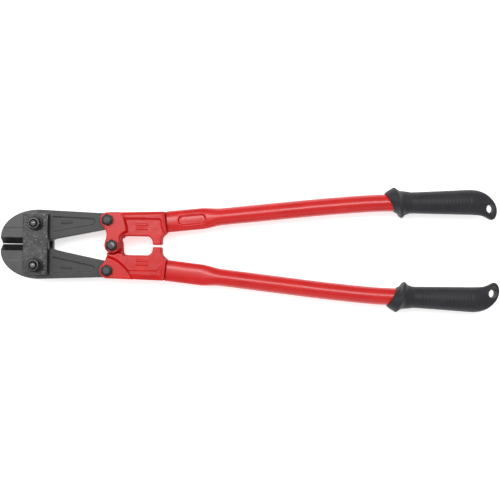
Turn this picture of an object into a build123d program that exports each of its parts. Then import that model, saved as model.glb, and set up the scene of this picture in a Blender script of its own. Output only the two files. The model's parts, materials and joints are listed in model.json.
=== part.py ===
from build123d import *
import os

# Bolt cutters, 24 inch class, lying flat with the handles closed.
# X runs from the jaws (-X) to the grips (+X), Y spreads the two handles and
# Z is the thickness. The origin is under the middle of the tool, on the
# plane it rests on. Everything is drawn round the tool's own mid-plane and
# lifted by REST_HEIGHT when it is written out. The lower half (-Y) mirrors
# the upper half; the lower arm is the same forging turned over.

# overall
REST_HEIGHT = 25.4
X_CENTRE = 0.33
GRIP_STAGGER = 2.2

# the three pairs of pivots
JAW_PIVOT = (-257.5, 25.0)
LINK_PIVOT = (-171.3, 30.35)
CENTRE_PIVOT = (-165.7, 0.0)
RUNNING_FIT = 0.05

# jaws
JAW_HALF = 8.0
BLADE_GAP = 0.35
BEVEL_TOP = 8.2
BLADE_END = -268.0
BLADE_TIP = -303.5
NOSE_AT = (-256.0, 8.0)
NOSE_HALF = (46.0, 34.1)
TAIL_RADIUS = 9.2
TAIL_HOLE = 6.0
POCKET_DEPTH = 1.4

# side plates
PLATE_X = (-273.1, -243.0)
PLATE_HALF_Y = 37.0
PLATE_Z = (8.3, 16.3)
PLATE_CORNER = 2.5

# bolts and nuts: 8 mm threads, with larger nuts at the jaws
JAW_BOLT_R = 4.0
JAW_NUT_AF = 13.0
JAW_NUT_H = 8.0
JAW_WASHER_R = 8.8
JAW_WASHER_H = 2.5
JAW_HEAD_H = 6.4
ARM_BOLT_R = 4.0
ARM_HEAD_AF = 12.4
ARM_HEAD_H = 5.5
ARM_WASHER_R = 8.0
ARM_WASHER_H = 1.4
ARM_NUT_H = 6.4

# arms
EAR_RADIUS = 9.5
EAR_Z = 17.0
SLOT_HALF = 8.4
SLOT_RADIUS = 12.8
PANEL_Z = 12.0
RIM_Z = 14.2
EAR_SPLIT = 0.15
RELIEF_RADIUS = 10.6

# tubes
TUBE_R = 10.5
TUBE_WALL = 2.0
OVAL_HALF = (13.0, 7.6)
JOINT = (-102.2, 29.55)
TUBE_TILT = 6.4
OVAL_LENGTH = 44.0
ROUND_LENGTH = 68.0
TUBE_END_X = 272.0
DIMPLE_AT = 31.0
DIMPLE_LENGTH = 33.0
DIMPLE_WIDTH = 11.0
DIMPLE_DEPTH = 2.6

# grips
MOUTH_R = 13.0
COLLAR_R = 19.3
COLLAR_TILT = 16.0
COLLAR_AT = (181.8, 57.6)
HOLE_AT = (293.3, 51.7)
HOLE_R = 5.25
END_HALF = 7.5

os.makedirs("parts", exist_ok=True)


def at(point, z=0.0):
    """Location of a point of the XY drawing at height z."""
    return Pos(point[0], point[1], z)


def slab(face, z_low, z_high):
    """A flat outline given thickness from z_low to z_high."""
    return extrude(Pos(0, 0, z_low) * face, z_high - z_low)


def pin(point, radius, z_low, z_high):
    """A round bar along Z."""
    return at(point, (z_low + z_high) / 2) * Cylinder(radius, z_high - z_low)


def outline(*points):
    """A closed outline of straight lines."""
    return make_face(Polyline(*points, close=True))


def rounded(radius, *points):
    """A closed outline of straight lines with one corner radius."""
    return make_face(FilletPolyline(*points, radius=radius, close=True))


def hexagon(point, flats, z_low, z_high, chamfer_low, chamfer_high):
    """A hexagonal prism with its corners turned down at the chosen ends."""
    height = z_high - z_low
    prism = slab(at(point) * Rot(0, 0, 22) * RegularPolygon(flats / 2, 6, major_radius=False),
                 z_low, z_high)
    bevel = 0.9
    profile = [(0, z_low)]
    if chamfer_low:
        profile += [(flats / 2 - 0.1, z_low), (flats / 2 + 1.3, z_low + bevel)]
    else:
        profile += [(flats / 2 + 1.3, z_low)]
    if chamfer_high:
        profile += [(flats / 2 + 1.3, z_low + height - bevel), (flats / 2 - 0.1, z_high)]
    else:
        profile += [(flats / 2 + 1.3, z_high)]
    profile += [(0, z_high)]
    blank = revolve(Plane.XZ * make_face(Polyline(*profile, close=True)), Axis.Z)
    return prism & (at(point) * blank)


def mirrored(shape):
    """The same piece on the -Y side."""
    return mirror(shape, Plane.XZ)


def save(shape, node):
    """Write one piece, lifted so that the tool rests on z = 0."""
    export_step(Pos(-X_CENTRE, 0, REST_HEIGHT) * shape, "parts/" + node + ".step")


# jaws: a thick forged plate, its nose a big quarter round, its inner edge
# ground to a centre-cut blade by a 45 degree bevel on each face
def jaw_blank():
    """The upper jaw without its mesh tooth."""
    ax, ay = JAW_PIVOT
    bx, by = LINK_PIVOT
    with BuildLine() as edge:
        EllipticalCenterArc((NOSE_AT[0], NOSE_AT[1]), NOSE_HALF[0], NOSE_HALF[1], 90, arc_size=90)
        Polyline((NOSE_AT[0], NOSE_AT[1] + NOSE_HALF[1]), (-182.0, 39.1), (bx, by + 9.0), (bx + 3.0, by - 8.5), (-178.0, 18.9),
                 (-237.5, 6.8), (-246.0, 3.1))
        ThreePointArc((-246.0, 3.1), (ax, 0.3), (BLADE_END, 2.45))
        Polyline((BLADE_END, 2.45), (BLADE_END, BLADE_GAP), (BLADE_TIP, BLADE_GAP),
                 (NOSE_AT[0] - NOSE_HALF[0], NOSE_AT[1]))
    body = slab(make_face(edge.line), -JAW_HALF, JAW_HALF)
    body += pin(LINK_PIVOT, TAIL_RADIUS, -JAW_HALF, JAW_HALF)
    for side in (1, -1):
        bevel = Polyline((-2, side * 0.15), (BLADE_GAP, side * 0.15), (BEVEL_TOP, side * (JAW_HALF + 0.01)),
                         (BEVEL_TOP, side * 10), (-2, side * 10), close=True)
        body -= extrude(Plane.YZ.offset(-310) * make_face(bevel), 310 + BLADE_END)
    pocket = rounded(3.0, (-240.5, 34.4), (-188.5, 32.2), (-188.5, 25.4), (-240.5, 14.6))
    body -= slab(pocket, JAW_HALF - POCKET_DEPTH, JAW_HALF + 1)
    body -= slab(pocket, -JAW_HALF - 1, -JAW_HALF + POCKET_DEPTH)
    body -= pin(JAW_PIVOT, JAW_BOLT_R + RUNNING_FIT, -20, 20)
    body -= pin(LINK_PIVOT, TAIL_HOLE, -20, 20)
    return body


tooth = rounded(0.9, (-260.5, 4.0), (-254.5, 4.0), (-255.6, -1.9), (-259.4, -1.9))
notch = rounded(0.9, (-261.9, 4.0), (-253.1, 4.0), (-254.5, -2.5), (-260.5, -2.5))
save(jaw_blank() + slab(tooth, -JAW_HALF, JAW_HALF), "upper_jaw")
save(mirrored(jaw_blank()) - slab(notch, -JAW_HALF - 1, JAW_HALF + 1), "lower_jaw")


# side plates: one in front of the jaws and one behind, carrying both pivots
def side_plate():
    """The front plate with its two bolt holes."""
    width = PLATE_X[1] - PLATE_X[0]
    middle = (PLATE_X[0] + PLATE_X[1]) / 2
    plate = slab(Pos(middle, 0) * RectangleRounded(width, 2 * PLATE_HALF_Y, PLATE_CORNER), *PLATE_Z)
    plate = chamfer(plate.faces().sort_by(Axis.Z)[-1].edges(), 0.8)
    for side in (1, -1):
        plate -= pin((JAW_PIVOT[0], side * JAW_PIVOT[1]), JAW_BOLT_R + RUNNING_FIT, 0, 30)
    return plate


save(side_plate(), "front_side_plate")
save(mirror(side_plate(), Plane.XY), "back_side_plate")

# jaw bolts: head behind, spring washer and nut in front, domed thread end
nut_low = PLATE_Z[1] + JAW_WASHER_H
nut_high = nut_low + JAW_NUT_H
jaw_bolt = pin(JAW_PIVOT, JAW_BOLT_R, -PLATE_Z[1], nut_high)
jaw_bolt += hexagon(JAW_PIVOT, JAW_NUT_AF, -PLATE_Z[1] - JAW_HEAD_H, -PLATE_Z[1], True, False)
dome = Sphere(5.2) & (Pos(0, 0, 4.5) * Cylinder(JAW_BOLT_R - 0.4, 4.0))
jaw_bolt += at(JAW_PIVOT, nut_high - 3.2) * dome
jaw_nut = hexagon(JAW_PIVOT, JAW_NUT_AF, nut_low, nut_high, False, True)
jaw_nut -= pin(JAW_PIVOT, JAW_BOLT_R + RUNNING_FIT, 0, 40)
jaw_washer = pin(JAW_PIVOT, JAW_WASHER_R, PLATE_Z[1], nut_low)
jaw_washer -= pin(JAW_PIVOT, JAW_BOLT_R + RUNNING_FIT, 0, 40)
jaw_washer -= at(JAW_PIVOT, nut_low - JAW_WASHER_H / 2) * Rot(0, 0, 30) * Pos(7, 0, 0) * Box(6, 0.8, 4)
save(jaw_bolt, "upper_jaw_bolt")
save(jaw_nut, "upper_jaw_nut")
save(jaw_washer, "upper_jaw_washer")
save(mirrored(jaw_bolt), "lower_jaw_bolt")
save(mirrored(jaw_nut), "lower_jaw_nut")
save(mirrored(jaw_washer), "lower_jaw_washer")


# arm bolts: head in front, washer and nut behind
def arm_bolt(point):
    """Bolt through both ears of an arm, with a turned disc on its head."""
    bolt = hexagon(point, ARM_HEAD_AF, EAR_Z, EAR_Z + ARM_HEAD_H - 0.6, False, True)
    bolt += pin(point, 4.8, EAR_Z + ARM_HEAD_H - 1.0, EAR_Z + ARM_HEAD_H)
    bolt += pin(point, ARM_BOLT_R, -EAR_Z - ARM_WASHER_H - ARM_NUT_H - 0.6, EAR_Z + 1)
    return bolt


def arm_washer(point):
    """Plain washer under the nut."""
    ring = pin(point, ARM_WASHER_R, -EAR_Z - ARM_WASHER_H, -EAR_Z)
    return ring - pin(point, ARM_BOLT_R + RUNNING_FIT, -40, 0)


def arm_nut(point):
    """Nut behind the washer."""
    low = -EAR_Z - ARM_WASHER_H - ARM_NUT_H
    return hexagon(point, ARM_HEAD_AF, low, low + ARM_NUT_H, True, False) - pin(
        point, ARM_BOLT_R + RUNNING_FIT, -40, 0)


save(arm_bolt(LINK_PIVOT), "upper_link_bolt")
save(arm_washer(LINK_PIVOT), "upper_link_washer")
save(arm_nut(LINK_PIVOT), "upper_link_nut")
save(mirrored(arm_bolt(LINK_PIVOT)), "lower_link_bolt")
save(mirrored(arm_washer(LINK_PIVOT)), "lower_link_washer")
save(mirrored(arm_nut(LINK_PIVOT)), "lower_link_nut")
save(arm_bolt(CENTRE_PIVOT), "center_bolt")
save(arm_washer(CENTRE_PIVOT), "center_washer")
save(arm_nut(CENTRE_PIVOT), "center_nut")


# arms: a forged hook with two ears for the jaw tail, one ear for the centre
# bolt, a window, a stop lug and a flat tang that enters the tube
def tube_frame():
    """Plane across the tube where it meets the arm; its Z runs along the tube."""
    return Plane(origin=(JOINT[0], JOINT[1], 0), x_dir=(0, 0, 1), z_dir=Vector(1, 0, 0).rotate(Axis.Z, TUBE_TILT))


def arm():
    """The upper arm, its full-depth flange in front."""
    bx, by = LINK_PIVOT
    cx, cy = CENTRE_PIVOT
    with BuildLine() as edge:
        Polyline((bx, by + EAR_RADIUS), (-103.7, 41.9), (-100.8, 16.8))
        ThreePointArc((-100.8, 16.8), (-105.9, 12.2), (-107.6, 5.8))
        Polyline((-107.6, 5.8), (-107.6, 2.6), (-108.9, 1.35), (-116.4, 1.35), (-117.7, 2.6))
        ThreePointArc((-117.7, 2.6), (-120.0, 8.9), (-126.0, 11.6))
        Line((-126.0, 11.6), (-150.6, 11.6))
        ThreePointArc((-150.6, 11.6), (-153.8, 10.3), (-155.0, 7.1))
        Polyline((-155.0, 7.1), (cx + 9.4, cy + 1.4), (cx, cy), (cx - 9.3, cy + 2.0))
        ThreePointArc((cx - 9.3, cy + 2.0), (-170.6, 14.5), (bx - 8.4, by - 4.6))
        Polyline((bx - 8.4, by - 4.6), (bx, by), (bx, by + EAR_RADIUS))
    whole = make_face(edge.line) + at(LINK_PIVOT) * Circle(EAR_RADIUS) + at(CENTRE_PIVOT) * Circle(EAR_RADIUS)
    front_flange = outline((-190, 45), (-158.4, 45), (-156.4, 41.2), (-153.0, 37.5), (-150.6, 32.6), (-148.2, 24),
                           (-147.4, 17.9), (-150.3, 15.2), (-154.6, 12.8), (-155.8, 9), (-155.8, -12), (-190, -12))
    back_flange = outline((-190, 12.7), (-171.2, 12.7), (-166.2, 13.6), (-160.7, 16.2), (-154.6, 20.6),
                          (-149.7, 25.2), (-146, 29.8), (-142.3, 35.1), (-139.2, 40.5), (-138, 45), (-190, 45))
    body = slab(whole, -PANEL_Z, PANEL_Z)
    body += slab(whole & front_flange, PANEL_Z - 1, EAR_Z)
    body += slab(whole & back_flange, -EAR_Z, -PANEL_Z + 1)
    front_rim = outline((-151, 32.6), (-108, 32.6), (-106.9, 24), (-104.8, 17.5), (-103.3, 15.5), (-98, 15.5),
                        (-98, 50), (-151, 50))
    back_rim = outline((-147, 30), (-111.5, 30), (-107.3, 24.7), (-104.3, 18.4), (-98, 18.4), (-98, 50), (-147, 50))
    body += slab(whole & front_rim, PANEL_Z - 1, RIM_Z)
    body += slab(whole & back_rim, -RIM_Z, -PANEL_Z + 1)
    slot = outline((bx - 30, by - SLOT_RADIUS), (bx, by - SLOT_RADIUS), (bx + SLOT_RADIUS, by),
                   (bx + SLOT_RADIUS, by + 30), (bx - 30, by + 30)) + at(LINK_PIVOT) * Circle(SLOT_RADIUS)
    body -= slab(slot, -SLOT_HALF, SLOT_HALF)
    body -= pin(CENTRE_PIVOT, RELIEF_RADIUS, -20, EAR_SPLIT)
    body -= slab(outline((-190, -15), (-150, -15), (-150, 9.0), (-190, 9.0)), -20, EAR_SPLIT)
    tang = tube_frame() * Pos(0, 0, -2) * Ellipse(OVAL_HALF[1] - TUBE_WALL - 0.1, OVAL_HALF[0] - TUBE_WALL - 0.1)
    body += extrude(tang, 44.0)
    dimple = tube_frame() * Pos(6.0, 0, DIMPLE_AT) * Box(6.8, DIMPLE_WIDTH + 1.4, DIMPLE_LENGTH + 1.4)
    body -= dimple
    body -= pin(LINK_PIVOT, ARM_BOLT_R + RUNNING_FIT, -30, 30)
    body -= pin(CENTRE_PIVOT, ARM_BOLT_R + RUNNING_FIT, -30, 30)
    return body


upper_arm = arm()
save(upper_arm, "upper_arm")
save(Rot(180, 0, 0) * upper_arm, "lower_arm")


# handle tubes: pressed oval where they take the tang, then round, bowed
# gently until they run level inside the grip
def tube_path():
    """Centre line of the round length of the upper tube."""
    tilt = Vector(1, 0, 0).rotate(Axis.Z, TUBE_TILT)
    start = Vector(JOINT[0], JOINT[1], 0) + tilt * ROUND_LENGTH
    return Spline(start, (36.7, 45.2), (110.2, 53.0), (164.1, 57.0), (TUBE_END_X, 58.3),
                  tangents=[tilt, Vector(1, 0.012, 0)])


def tube_solid(shrink):
    """Oval start, blend and round length, drawn in by the given amount."""
    frame = tube_frame()
    half_y, half_z = OVAL_HALF
    oval = Ellipse(half_z - shrink, half_y - shrink)
    ring = Circle(TUBE_R - shrink)
    start = extrude(frame * oval, OVAL_LENGTH)
    blend = loft([frame * Pos(0, 0, OVAL_LENGTH) * oval, frame * Pos(0, 0, ROUND_LENGTH) * ring])
    path = tube_path()
    run = sweep(frame * Pos(0, 0, ROUND_LENGTH) * ring, path=path)
    return start + blend + run


def tube():
    """The upper tube with its crimp pressed in from the front."""
    shell = tube_solid(0) - tube_solid(TUBE_WALL)
    stamp = tube_frame() * Pos(OVAL_HALF[1] - DIMPLE_DEPTH + 4, 0, DIMPLE_AT)
    hollow = stamp * Box(8, DIMPLE_WIDTH, DIMPLE_LENGTH)
    floor = tube_frame() * Pos(OVAL_HALF[1] - DIMPLE_DEPTH - 0.9, 0, DIMPLE_AT)
    shell -= hollow
    shell += floor * Box(1.8, DIMPLE_WIDTH + 0.8, DIMPLE_LENGTH + 0.8)
    return shell


upper_tube = tube()
save(upper_tube, "upper_handle_tube")
save(Rot(180, 0, 0) * upper_tube, "lower_handle_tube")


# grips: moulded sleeves with a leaning collar in front and a flattened,
# hooked end with a hang hole
def grip(shift):
    """The upper grip, moved along X by shift."""
    x, y = COLLAR_AT
    collar = make_face(Polyline((-10.5, 0), (-10.5, MOUTH_R), (-0.9, COLLAR_R), (0.9, COLLAR_R), (5.0, 16.2),
                                (10.0, 14.2), (14.0, 13.3), (14.0, 0), close=True))
    body = at((x, y)) * Rot(0, 0, COLLAR_TILT) * revolve(collar, Axis.X)
    stations = [(186.0, 57.5, 12.9, 12.9), (203.0, 57.75, 13.05, 13.0), (245.0, 58.85, 14.55, 13.4),
                (272.0, 59.5, 15.4, 12.6), (284.0, 58.0, 14.6, 9.8)]
    sections = []
    for sx, sy, half_y, half_z in stations:
        section = Plane(origin=(sx, sy, 0), x_dir=(0, 0, 1), z_dir=(1, 0, 0)) * Ellipse(half_z, half_y)
        sections.append(section)
    body += loft(sections)
    with BuildLine() as edge:
        Polyline((264.0, 45.2), (284.0, 43.6), (290.0, 41.4), (294.6, 38.6))
        ThreePointArc((294.6, 38.6), (297.0, 38.1), (299.2, 39.6))
        Polyline((299.2, 39.6), (301.6, 44.0))
        ThreePointArc((301.6, 44.0), (298.2, 61.6), (285.0, 72.2))
        Polyline((285.0, 72.2), (275.0, 75.0), (264.0, 74.2), (264.0, 45.2))
    end = slab(make_face(edge.line), -END_HALF, END_HALF)
    end = chamfer(end.faces().sort_by(Axis.Z)[-1].edges(), 1.3)
    end = chamfer(end.faces().sort_by(Axis.Z)[0].edges(), 1.3)
    body += end
    body = Pos(shift, 0, 0) * body
    body -= pin((HOLE_AT[0] + shift, HOLE_AT[1]), HOLE_R, -20, 20)
    path = tube_path()
    bore_start = Plane(origin=path @ 0, x_dir=(0, 0, 1), z_dir=path % 0)
    body -= sweep(bore_start * Circle(TUBE_R + RUNNING_FIT), path=path)
    return body


save(grip(-GRIP_STAGGER), "upper_grip")
save(mirrored(grip(GRIP_STAGGER)), "lower_grip")
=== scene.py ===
import bmesh
import bpy
import json
import math
import numpy as np
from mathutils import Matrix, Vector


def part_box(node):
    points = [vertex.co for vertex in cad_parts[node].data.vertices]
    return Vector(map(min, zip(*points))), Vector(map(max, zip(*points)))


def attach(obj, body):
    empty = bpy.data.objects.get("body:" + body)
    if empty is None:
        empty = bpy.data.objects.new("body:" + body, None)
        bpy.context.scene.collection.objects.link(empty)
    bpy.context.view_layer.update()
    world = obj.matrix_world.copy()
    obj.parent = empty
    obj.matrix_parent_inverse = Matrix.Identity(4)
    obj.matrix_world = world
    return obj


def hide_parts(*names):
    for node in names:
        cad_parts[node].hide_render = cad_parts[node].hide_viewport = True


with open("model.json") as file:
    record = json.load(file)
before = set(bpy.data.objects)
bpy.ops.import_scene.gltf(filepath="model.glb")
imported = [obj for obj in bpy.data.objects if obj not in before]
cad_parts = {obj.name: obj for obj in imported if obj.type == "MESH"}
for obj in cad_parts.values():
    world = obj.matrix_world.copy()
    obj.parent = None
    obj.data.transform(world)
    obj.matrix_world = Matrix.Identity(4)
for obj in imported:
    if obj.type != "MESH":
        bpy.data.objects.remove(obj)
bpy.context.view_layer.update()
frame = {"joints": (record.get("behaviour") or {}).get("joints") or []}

# The studio: a pale floor under the tool, one long soft box over the upper
# handle, two weak fills, and the camera looking straight down.
pivots = {joint["name"]: joint.get("pos_m") for joint in frame["joints"]}
centre_x, centre_y, middle_z = pivots["upper_handle_swing"]
drawing_x = centre_x + 0.1657
camera_height = 0.900
camera_y = -0.0030
camera_roll = 0.0157
frame_width = 0.61125

camera_data = bpy.data.cameras.new("camera")
camera_data.sensor_width = 36.0
camera_data.lens = 36.0 * camera_height / frame_width
camera = bpy.data.objects.new("camera", camera_data)
camera.location = (drawing_x, camera_y, middle_z + camera_height)
camera.rotation_euler = (0.0, 0.0, camera_roll)
bpy.context.scene.collection.objects.link(camera)
bpy.context.scene.camera = camera


def soft_light(name, place, width, depth, power):
    """A rectangular area light at place, turned to face the middle of the tool."""
    data = bpy.data.lights.new(name, "AREA")
    data.shape = "RECTANGLE"
    data.size = width
    data.size_y = depth
    data.energy = power
    light = bpy.data.objects.new(name, data)
    light.location = place
    aim = -light.location
    light.rotation_euler = aim.to_track_quat("-Z", "Y").to_euler()
    bpy.context.scene.collection.objects.link(light)


soft_light("key_light", (-0.05, 0.34, 1.40), 1.70, 0.40, 14.0)
soft_light("left_fill", (-1.3, 0.3, 0.9), 0.9, 0.9, 3.0)
soft_light("low_fill", (0.3, -1.3, 0.7), 1.0, 1.0, 1.5)

world = bpy.data.worlds.new("studio")
world.use_nodes = True
world.node_tree.nodes["Background"].inputs["Color"].default_value = (1.0, 1.0, 1.0, 1.0)
world.node_tree.nodes["Background"].inputs["Strength"].default_value = 0.36
bpy.context.scene.world = world
bpy.context.scene.view_settings.view_transform = "Standard"

bpy.ops.mesh.primitive_plane_add(size=8.0, location=(0.0, 0.0, -0.0004))
floor = bpy.context.active_object
floor.name = "studio_floor"
floor_paint = bpy.data.materials.new("floor_paint")
floor_paint.use_nodes = True
floor_shader = floor_paint.node_tree.nodes["Principled BSDF"]
floor_shader.inputs["Base Color"].default_value = (0.85, 0.85, 0.85, 1.0)
floor_shader.inputs["Roughness"].default_value = 0.9
floor_shader.inputs["Emission Color"].default_value = (1.0, 1.0, 1.0, 1.0)
floor_shader.inputs["Emission Strength"].default_value = 0.62
floor.data.materials.append(floor_paint)


# The jaws are thick forged steel, blackened, with a quarter-round nose. The
# inner edges are ground from both faces at 45 degrees to meet in the middle.
# A shallow pocket is forged into each face behind the side plates.
def rounded_path(corners, closed=True, steps=6):
    """Points along straight lines whose corners (x, y, radius) are turned by arcs.

    Each arc leaves its corner's two lines at radius / tan(half the angle) from
    the corner, and is centred where the two normals meet.
    """
    points = []
    count = len(corners)
    for i, (x, y, radius) in enumerate(corners):
        here = np.array([x, y])
        if radius <= 0 or (not closed and i in (0, count - 1)):
            points.append(here)
            continue
        back = np.array(corners[i - 1][:2]) - here
        ahead = np.array(corners[(i + 1) % count][:2]) - here
        back, ahead = back / np.linalg.norm(back), ahead / np.linalg.norm(ahead)
        half = math.acos(np.clip(back @ ahead, -1, 1)) / 2
        bisector = (back + ahead) / np.linalg.norm(back + ahead)
        hub = here + bisector * radius / math.sin(half)
        start = here + back * radius / math.tan(half) - hub
        end = here + ahead * radius / math.tan(half) - hub
        turn = math.atan2(start[0] * end[1] - start[1] * end[0], start @ end)
        for angle in np.linspace(0, turn, steps + 1):
            c, s = math.cos(angle), math.sin(angle)
            points.append(hub + np.array([c * start[0] - s * start[1], s * start[0] + c * start[1]]))
    return np.array(points)


def inside(x, y, loop):
    """Signed distance to a closed outline, positive inside.

    It is the least distance to any side, with its sign from how many sides a
    line drawn in +x crosses.
    """
    nearest = np.full(x.shape, 1e9)
    crossings = np.zeros(x.shape, dtype=bool)
    for (ax, ay), (bx, by) in zip(loop, np.roll(loop, -1, axis=0)):
        dx, dy = bx - ax, by - ay
        along = np.clip(((x - ax) * dx + (y - ay) * dy) / (dx * dx + dy * dy + 1e-12), 0, 1)
        nearest = np.minimum(nearest, np.hypot(x - ax - along * dx, y - ay - along * dy))
        if ay != by:
            crossings ^= ((ay > y) != (by > y)) & (x < (bx - ax) * (y - ay) / (by - ay) + ax)
    return np.where(crossings, nearest, -nearest)


def disc(x, y, centre, radius):
    """Signed distance to a circle, positive inside."""
    return radius - np.hypot(x - centre[0], y - centre[1])


def rise(distance, width):
    """A smooth step from 0 to 1, centred on distance 0 and spread over width."""
    t = np.clip(distance / width + 0.5, 0, 1)
    return t * t * (3 - 2 * t)


def worn_edge(depth, radius):
    """How far a face drops near its outline: a quarter circle of that radius."""
    t = np.clip(radius - depth, 0, radius)
    return radius - np.sqrt(radius * radius - t * t)


def sheet_grid(box, step):
    """A square grid over box = (x low, y low, x high, y high)."""
    xs = np.arange(box[0], box[2] + step, step)
    ys = np.arange(box[1], box[3] + step, step)
    return np.meshgrid(xs, ys, indexing="ij")


def cut_to_outline(x, y, field, step):
    """Moves the grid points that straddle an outline onto it.

    A point outside, or within 0.4 of a step of the outline, slides along the
    gradient of the signed distance by that distance.
    """
    depth = field(x, y)
    e = 0.02
    gx = (field(x + e, y) - field(x - e, y)) / (2 * e)
    gy = (field(x, y + e) - field(x, y - e)) / (2 * e)
    move = (depth < 0.4 * step) & (depth > -2.5 * step)
    size = np.maximum(gx * gx + gy * gy, 0.25)
    x = np.where(move, x - depth * gx / size, x)
    y = np.where(move, y - depth * gy / size, y)
    solid = depth > 0.4 * step
    keep = solid[:-1, :-1] | solid[1:, :-1] | solid[:-1, 1:] | solid[1:, 1:]
    return x, y, np.where(move, 0.0, depth), keep


def two_sided(x, y, top, bottom, keep, rows=6):
    """Vertices and quads of a closed body: a top face, a bottom face, and a wall.

    Both faces are the kept cells of one grid. The wall runs straight from the
    top face's rim to the bottom face's rim in the given number of rows.
    """
    nx, ny = x.shape
    number = np.arange(nx * ny).reshape(nx, ny)
    a, b, c, d = number[:-1, :-1], number[1:, :-1], number[1:, 1:], number[:-1, 1:]
    upper = np.stack([a, b, c, d], axis=-1)[keep]
    total = nx * ny
    lower = upper[:, ::-1] + total
    padded = np.zeros((nx + 1, ny + 1), dtype=bool)
    padded[1:-1, 1:-1] = keep
    edges = []
    for start, end, one, two in ((number[:-1, :], number[1:, :], padded[1:-1, 1:], padded[1:-1, :-1]),
                                 (number[:, 1:], number[:, :-1], padded[1:, 1:-1], padded[:-1, 1:-1])):
        one, two = one[:start.shape[0], :start.shape[1]], two[:start.shape[0], :start.shape[1]]
        edges.append(np.stack([start[one & ~two], end[one & ~two]], axis=-1))
        edges.append(np.stack([end[two & ~one], start[two & ~one]], axis=-1))
    rim = np.concatenate(edges)
    top_points = np.stack([x, y, top], axis=-1).reshape(-1, 3)
    low_points = np.stack([x, y, bottom], axis=-1).reshape(-1, 3)
    rim_ids = np.unique(rim)
    place = np.zeros(total, dtype=int)
    place[rim_ids] = np.arange(len(rim_ids))
    between = [top_points[rim_ids] * (1 - t) + low_points[rim_ids] * t
               for t in np.linspace(0, 1, rows + 1)[1:-1]]
    points = np.concatenate([top_points, low_points] + between)
    wall = []
    for row in range(rows):
        high = rim if row == 0 else 2 * total + (row - 1) * len(rim_ids) + place[rim]
        low = rim + total if row == rows - 1 else 2 * total + row * len(rim_ids) + place[rim]
        wall.append(np.stack([high[:, 1], high[:, 0], low[:, 0], low[:, 1]], axis=-1))
    return points, np.concatenate([upper, lower] + wall)


def to_piece(name, body, nodes, parts, flip=False, sharp=35.0):
    """Makes one finished object from (points, quads) in drawing millimetres.

    flip turns the drawing half a turn round X, which is how the lower half of
    the tool is made from the upper one. Unused points are dropped and doubles
    merged, and edges sharper than the given angle stay crisp.
    """
    points, faces, offset = [], [], 0
    for some_points, some_faces in parts:
        points.append(some_points)
        faces.append(some_faces + offset)
        offset += len(some_points)
    points, faces = np.concatenate(points), np.concatenate(faces)
    used = np.unique(faces)
    renumber = np.zeros(len(points), dtype=int)
    renumber[used] = np.arange(len(used))
    points, faces = points[used] / 1000.0, renumber[faces]
    if flip:
        points = points * np.array([1, -1, -1])
    points = points + np.array([drawing_x, centre_y, middle_z])
    weld = 1e-6
    mesh = bpy.data.meshes.new(name)
    mesh.from_pydata(points, [], faces.tolist())
    work = bmesh.new()
    work.from_mesh(mesh)
    bmesh.ops.remove_doubles(work, verts=work.verts, dist=weld)
    bmesh.ops.dissolve_degenerate(work, edges=work.edges, dist=weld)
    bmesh.ops.recalc_face_normals(work, faces=work.faces)
    work.to_mesh(mesh)
    work.free()
    mesh.polygons.foreach_set("use_smooth", np.ones(len(mesh.polygons), dtype=bool))
    mesh.set_sharp_from_angle(angle=math.radians(sharp))
    piece = bpy.data.objects.new(name, mesh)
    bpy.context.scene.collection.objects.link(piece)
    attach(piece, body)
    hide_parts(*nodes)
    return piece


def face_rows(piece, kind):
    """The "center" or the "normal" of every face, one row each."""
    values = np.empty(3 * len(piece.data.polygons))
    piece.data.polygons.foreach_get(kind, values)
    return values.reshape(-1, 3)


def paint(piece, materials, numbers=None):
    """Gives a piece its materials, and each face the number of its own one."""
    for material in materials:
        piece.data.materials.append(material)
    if numbers is not None:
        piece.data.polygons.foreach_set("material_index", numbers.astype(np.int32))


jaw_pivot = (-257.5, 25.0)
link_pivot = (-171.3, 30.35)
bolt_bore = 4.05
tail_bore = 6.0
blade_gap = 0.35
jaw_half = 8.0
bevel_back = -268.2
cheek_back = -258.6
jaw_step = 0.44
nose_at = (-256.0, 8.0)
nose_half = (46.5, 34.1)
nose = np.array([[nose_at[0] - nose_half[0] * math.cos(a), nose_at[1] + nose_half[1] * math.sin(a)]
                 for a in np.linspace(0, math.pi / 2, 30)])
jaw_rest = rounded_path([(-200, 39.85, 0), (-182, 39.1, 4), (-171.3, 39.3, 4), (-168.3, 21.8, 4), (-178, 18.9, 6),
                         (-237.5, 6.8, 20), (-246, 3.1, 12), (-257.5, 0.3, 10), (-268, 2.45, 0), (-268, 0.35, 0),
                         (-303.4, 0.35, 0.3)])
jaw_loop = np.concatenate([nose, jaw_rest])
jaw_pocket = rounded_path([(-240.3, 34.6, 1), (-187.9, 32.5, 3.6), (-187.9, 25.0, 3.6), (-240.3, 14.4, 1)])
jaw_bar = rounded_path([(-229.0, 28.2, 1.1), (-229.0, 25.4, 1.1), (-215.0, 26.6, 1.1), (-215.0, 29.0, 1.1)])
mesh_tooth = rounded_path([(-260.5, 4, 0), (-254.5, 4, 0), (-255.6, -1.9, 0.9), (-259.4, -1.9, 0.9)])
mesh_notch = rounded_path([(-261.9, 4, 0), (-253.1, 4, 0), (-254.5, -2.5, 0.9), (-260.5, -2.5, 0.9)])


def jaw_field(x, y, upper):
    """Inside the jaw's outline and outside its two bolt holes.

    The upper jaw has the mesh tooth added and the lower one has its notch
    taken away.
    """
    body = np.maximum(inside(x, y, jaw_loop), disc(x, y, link_pivot, 9.2))
    if upper:
        body = np.maximum(body, inside(x, y, mesh_tooth))
    else:
        body = np.minimum(body, -inside(x, -y, mesh_notch))
    body = np.minimum(body, -disc(x, y, jaw_pivot, bolt_bore))
    return np.minimum(body, -disc(x, y, link_pivot, tail_bore))


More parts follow.
